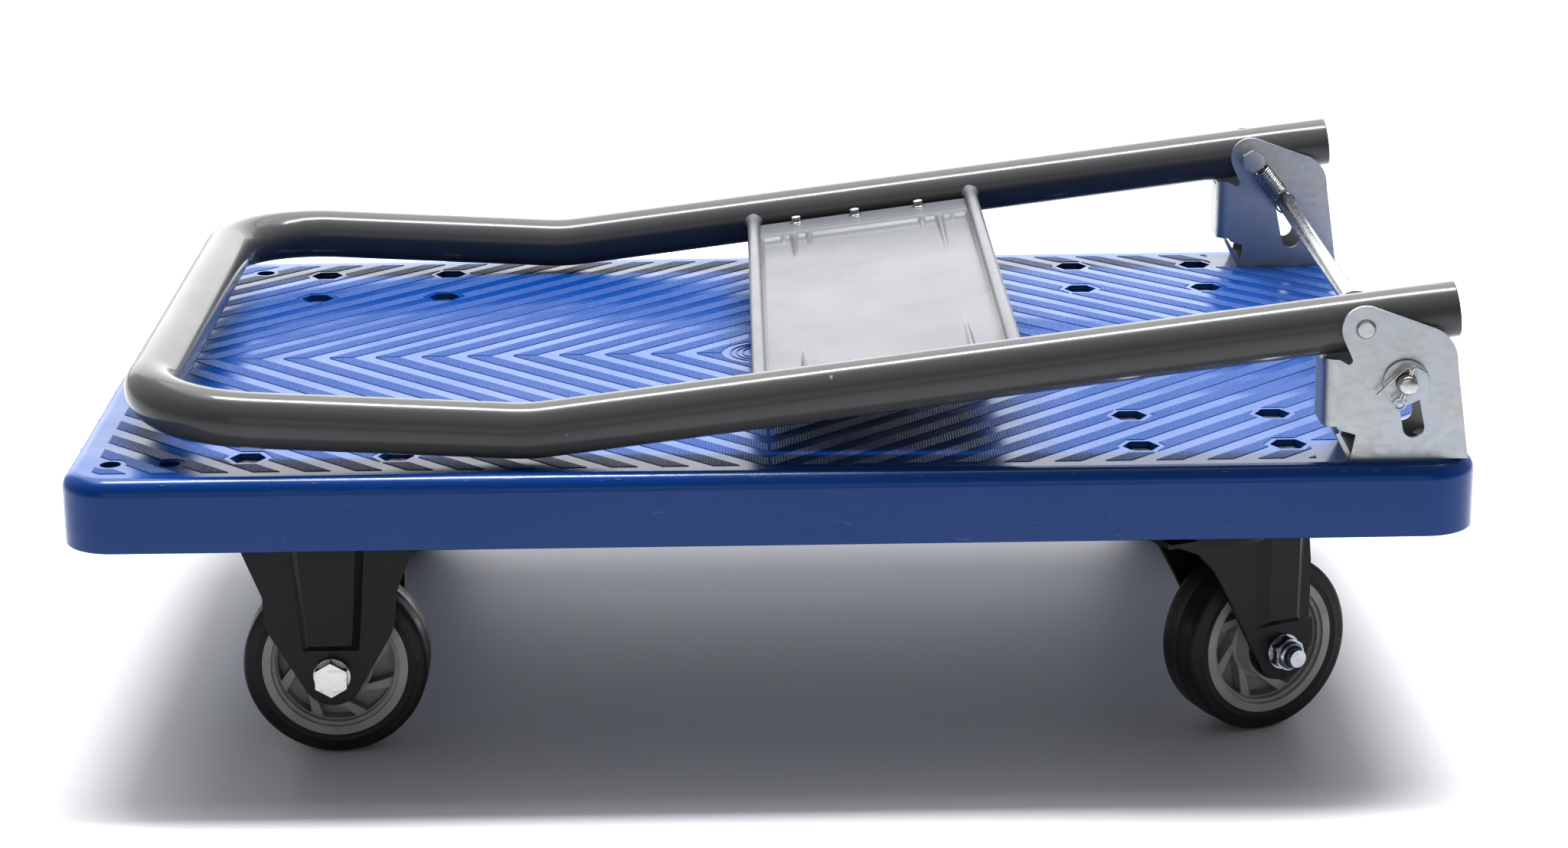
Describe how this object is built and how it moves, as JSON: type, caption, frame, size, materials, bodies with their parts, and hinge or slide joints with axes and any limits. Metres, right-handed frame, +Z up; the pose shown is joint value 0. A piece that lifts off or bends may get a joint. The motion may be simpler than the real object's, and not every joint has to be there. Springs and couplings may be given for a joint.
{
  "type": "folding platform cart",
  "caption": "Folding platform cart: a moulded deck on fixed and swivel casters, with a tubular push handle that folds flat and locks with a sprung rod.",
  "frame": {"origin": "on the floor under the middle of the deck", "axes": "+X along the deck towards the handle hinge, +Y across the deck, +Z up"},
  "size_m": [0.74, 0.48, 0.2628],
  "materials": {
    "deck_plastic": "moulded, semi-gloss blue",
    "grey_paint": "gloss grey powder coat",
    "zinc_plate": "bright zinc plate",
    "bush_plastic": "white nylon",
    "spring_steel": "drawn spring wire",
    "black_paint": "gloss black coat",
    "tyre_rubber": "smooth black rubber",
    "rim_grey": "grey cast core",
    "bearing_steel": "ground steel"
  },
  "bodies": {
    "chassis": {"deck": "deck_plastic", "bracket_near": "zinc_plate", "bracket_far": "zinc_plate", "bracket_bolts": "zinc_plate", "bracket_nuts": "zinc_plate", "bracket_backing_plates": "zinc_plate", "pivot_bolts": "zinc_plate", "pivot_spacers": "zinc_plate", "spring_near": "spring_steel", "spring_far": "spring_steel", "caster_bolts": "zinc_plate", "caster_nuts": "zinc_plate", "fixed_fork_near": "black_paint", "fixed_fork_far": "black_paint", "swivel_plate_near": "black_paint", "swivel_plate_far": "black_paint", "kingpin_near": "zinc_plate", "kingpin_far": "zinc_plate", "swivel_balls_near": "bearing_steel", "swivel_balls_far": "bearing_steel", "axle_fixed_near": "zinc_plate", "axle_nut_fixed_near": "zinc_plate", "axle_sleeve_fixed_near": "black_paint", "axle_fixed_far": "zinc_plate", "axle_nut_fixed_far": "zinc_plate", "axle_sleeve_fixed_far": "black_paint"},
    "handle": {"handle_tube": "grey_paint", "panel_sheet": "grey_paint", "panel_rods": "grey_paint", "panel_studs": "zinc_plate", "panel_strips": "grey_paint", "pivot_bushes": "bush_plastic"},
    "lock_bar": {"lock_rod": "zinc_plate", "lock_rod_ends": "zinc_plate", "lock_washers": "zinc_plate", "lock_split_pins": "zinc_plate"},
    "swivel_near": {"swivel_fork_near": "black_paint", "axle_swivel_near": "zinc_plate", "axle_nut_swivel_near": "zinc_plate", "axle_sleeve_swivel_near": "black_paint"},
    "swivel_far": {"swivel_fork_far": "black_paint", "axle_swivel_far": "zinc_plate", "axle_nut_swivel_far": "zinc_plate", "axle_sleeve_swivel_far": "black_paint"},
    "wheel_fixed_near": {"tyre_fixed_near": "tyre_rubber", "rim_fixed_near": "rim_grey", "bearings_fixed_near": "bearing_steel"},
    "wheel_fixed_far": {"tyre_fixed_far": "tyre_rubber", "rim_fixed_far": "rim_grey", "bearings_fixed_far": "bearing_steel"},
    "wheel_swivel_near": {"tyre_swivel_near": "tyre_rubber", "rim_swivel_near": "rim_grey", "bearings_swivel_near": "bearing_steel"},
    "wheel_swivel_far": {"tyre_swivel_far": "tyre_rubber", "rim_swivel_far": "rim_grey", "bearings_swivel_far": "bearing_steel"}
  },
  "joints": [
    {"name": "handle_fold", "type": "hinge", "parent": "chassis", "child": "handle", "pos_m": [0.308, 0, 0.242], "axis": [0, 1, 0], "range_deg": [0, 100]},
    {"name": "lock_rod_slide", "type": "slide", "parent": "chassis", "child": "lock_bar", "axis": [0.2, 0, -0.9798], "range_m": [0, 0.025], "stiffness_N_per_m": 600, "springref_m": -0.02, "deforming": ["spring_near", "spring_far"]},
    {"name": "swivel_turn_near", "type": "hinge", "parent": "chassis", "child": "swivel_near", "pos_m": [0.2355, -0.1695, 0.12], "axis": [0, 0, 1], "continuous": true},
    {"name": "swivel_turn_far", "type": "hinge", "parent": "chassis", "child": "swivel_far", "pos_m": [0.2355, 0.1695, 0.12], "axis": [0, 0, 1], "continuous": true},
    {"name": "wheel_roll_fixed_near", "type": "hinge", "parent": "chassis", "child": "wheel_fixed_near", "pos_m": [-0.2355, -0.1695, 0.05], "axis": [0, 1, 0], "continuous": true},
    {"name": "wheel_roll_fixed_far", "type": "hinge", "parent": "chassis", "child": "wheel_fixed_far", "pos_m": [-0.2355, 0.1695, 0.05], "axis": [0, 1, 0], "continuous": true},
    {"name": "wheel_roll_swivel_near", "type": "hinge", "parent": "swivel_near", "child": "wheel_swivel_near", "pos_m": [0.26541, -0.15555, 0.05], "axis": [-0.4226, 0.9063, 0], "continuous": true},
    {"name": "wheel_roll_swivel_far", "type": "hinge", "parent": "swivel_far", "child": "wheel_swivel_far", "pos_m": [0.26541, 0.18345, 0.05], "axis": [-0.4226, 0.9063, 0], "continuous": true}
  ]
}
